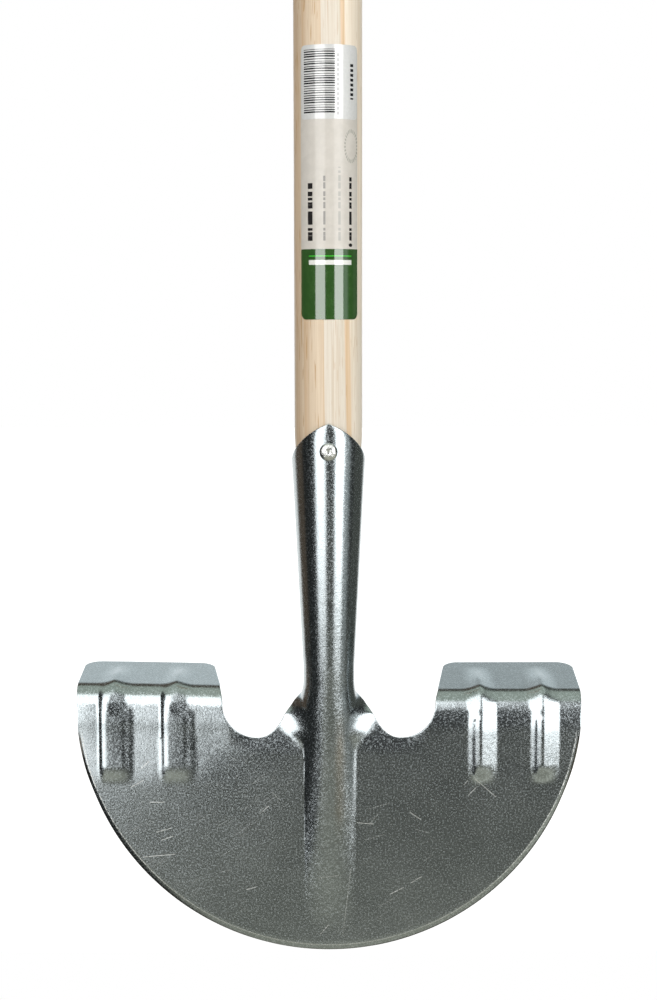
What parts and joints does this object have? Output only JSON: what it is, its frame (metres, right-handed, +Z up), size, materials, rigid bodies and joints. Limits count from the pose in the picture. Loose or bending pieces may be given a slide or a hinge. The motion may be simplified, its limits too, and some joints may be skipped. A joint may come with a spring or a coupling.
{
  "type": "half moon lawn edger",
  "caption": "Half-round lawn edging iron pressed from galvanised sheet with folded foot treads and a rolled socket, riveted to a straight wooden shaft with a T-grip.",
  "frame": {"origin": "on the lowest point of the cutting edge's height, under the middle of the tool's own box in X and Y", "axes": "+Z up along the shaft from the cutting edge to the T-grip, +X to the right along the blade and the grip, -Y out of the blade's bevelled front"},
  "size_m": [0.212, 0.0496, 0.973],
  "materials": {
    "galvanised_sheet": "bright galvanised sheet, fine speckle and light scratches",
    "fixings": "bright zinc-plated steel",
    "shaft_wood": "smooth pale ash, thin clear coat",
    "grip_wood": "smooth pale ash, thin clear coat",
    "wedge_wood": "raw dark hardwood",
    "label_film": "clear gloss film with a green printed block",
    "label_white": "white printed sticker"
  },
  "bodies": {
    "root": {"blade": "galvanised_sheet", "socket_rivet": "fixings", "rivet_washer": "fixings", "shaft": "shaft_wood", "grip": "grip_wood", "grip_wedge": "wedge_wood", "grip_pin": "fixings", "film_label": "label_film", "bar_label": "label_white"}
  },
  "joints": []
}
